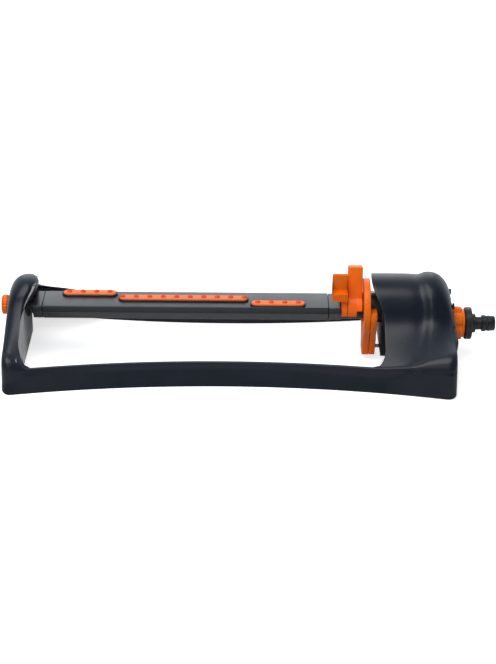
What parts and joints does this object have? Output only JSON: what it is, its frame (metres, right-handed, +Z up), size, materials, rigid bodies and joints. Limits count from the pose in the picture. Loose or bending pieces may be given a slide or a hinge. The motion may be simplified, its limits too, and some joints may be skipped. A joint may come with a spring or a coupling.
{
  "type": "oscillating sprinkler",
  "caption": "Oscillating lawn sprinkler: a swinging tube with a row of nozzles on a bowed base, geared turbine drive, range sliders and a hose nipple.",
  "frame": {"origin": "on the ground, in the middle of the whole length and width", "axes": "+X along the spray tube towards the hose inlet, +Z up, -Y the front"},
  "size_m": [0.492, 0.1914, 0.0959],
  "materials": {
    "frame_plastic": "satin",
    "tube_plastic": "satin",
    "black_plastic": "satin",
    "orange_plastic": "satin",
    "strip_rubber": "matte",
    "seal_rubber": "matte",
    "steel": "brushed",
    "gear_plastic": "satin"
  },
  "bodies": {
    "base": {"base_frame": "frame_plastic", "tube_bearing": "gear_plastic", "neck_seal": "seal_rubber", "gear_case": "black_plastic", "gear_plate": "black_plastic", "jet_plate": "black_plastic", "case_cover": "black_plastic", "case_screws": "steel", "housing_screws": "steel", "slow_gear_pin": "steel", "fast_gear_pin": "steel", "inlet_nipple": "black_plastic", "nipple_seal": "seal_rubber", "filter_screen": "steel"},
    "tube": {"spray_tube": "tube_plastic", "rear_nozzle_strip": "strip_rubber", "middle_nozzle_strip": "strip_rubber", "front_nozzle_strip": "strip_rubber", "left_end_cap": "tube_plastic", "right_end_cap": "tube_plastic", "drive_neck": "black_plastic", "tube_gear": "gear_plastic"},
    "drain_plug": {"end_plug": "orange_plastic", "plug_seal": "seal_rubber", "cleaning_needle": "steel"},
    "front_slider": {"front_range_slider": "orange_plastic"},
    "rear_slider": {"rear_range_slider": "orange_plastic"},
    "trip_lever": {"trip_plate": "orange_plastic", "trip_arm": "orange_plastic", "link_rod": "gear_plastic"},
    "flap": {"reversing_flap": "gear_plastic"},
    "slow_gear": {"slow_double_gear": "gear_plastic"},
    "fast_gear": {"fast_double_gear": "gear_plastic"},
    "turbine": {"turbine_wheel": "gear_plastic", "turbine_pinion": "gear_plastic", "turbine_shaft": "steel"},
    "flow_control": {"flow_knob": "orange_plastic", "valve_sleeve": "gear_plastic"}
  },
  "joints": [
    {"name": "tube_swing", "type": "hinge", "parent": "base", "child": "tube", "pos_m": [0, 0, 0.0525], "axis": [1, 0, 0], "range_deg": [-45, 45]},
    {"name": "plug_pull", "type": "slide", "parent": "tube", "child": "drain_plug", "axis": [-1, 0, 0], "range_m": [0, 0.03]},
    {"name": "front_slider_set", "type": "hinge", "parent": "tube", "child": "front_slider", "pos_m": [0, 0, 0.0525], "axis": [1, 0, 0], "range_deg": [-5, 40]},
    {"name": "rear_slider_set", "type": "hinge", "parent": "tube", "child": "rear_slider", "pos_m": [0, 0, 0.0525], "axis": [1, 0, 0], "range_deg": [-40, 5]},
    {"name": "trip_swing", "type": "hinge", "parent": "base", "child": "trip_lever", "pos_m": [0, 0, 0.0525], "axis": [1, 0, 0], "range_deg": [-8, 8]},
    {"name": "flap_turn", "type": "hinge", "parent": "base", "child": "flap", "pos_m": [0.185, 0, 0.0225], "axis": [1, 0, 0], "range_deg": [-27.2, 27.2]},
    {"name": "slow_gear_spin", "type": "hinge", "parent": "base", "child": "slow_gear", "pos_m": [0.14, 0.012, 0.03172], "axis": [1, 0, 0], "range_deg": [-180, 180]},
    {"name": "fast_gear_spin", "type": "hinge", "parent": "base", "child": "fast_gear", "pos_m": [0.14, -0.0072, 0.03172], "axis": [1, 0, 0], "range_deg": [-540, 540]},
    {"name": "turbine_spin", "type": "hinge", "parent": "base", "child": "turbine", "pos_m": [0.14, 0, 0.04951], "axis": [1, 0, 0], "range_deg": [-1620, 1620]},
    {"name": "flow_turn", "type": "hinge", "parent": "base", "child": "flow_control", "pos_m": [0.209, 0, 0.036], "axis": [1, 0, 0], "range_deg": [0, 75]}
  ],
  "couplings": [
    {"joint": "slow_gear_spin", "follows": "tube_swing", "ratio": -4},
    {"joint": "fast_gear_spin", "follows": "tube_swing", "ratio": 12},
    {"joint": "turbine_spin", "follows": "tube_swing", "ratio": -36},
    {"joint": "flap_turn", "follows": "trip_swing", "ratio": 3.4}
  ]
}
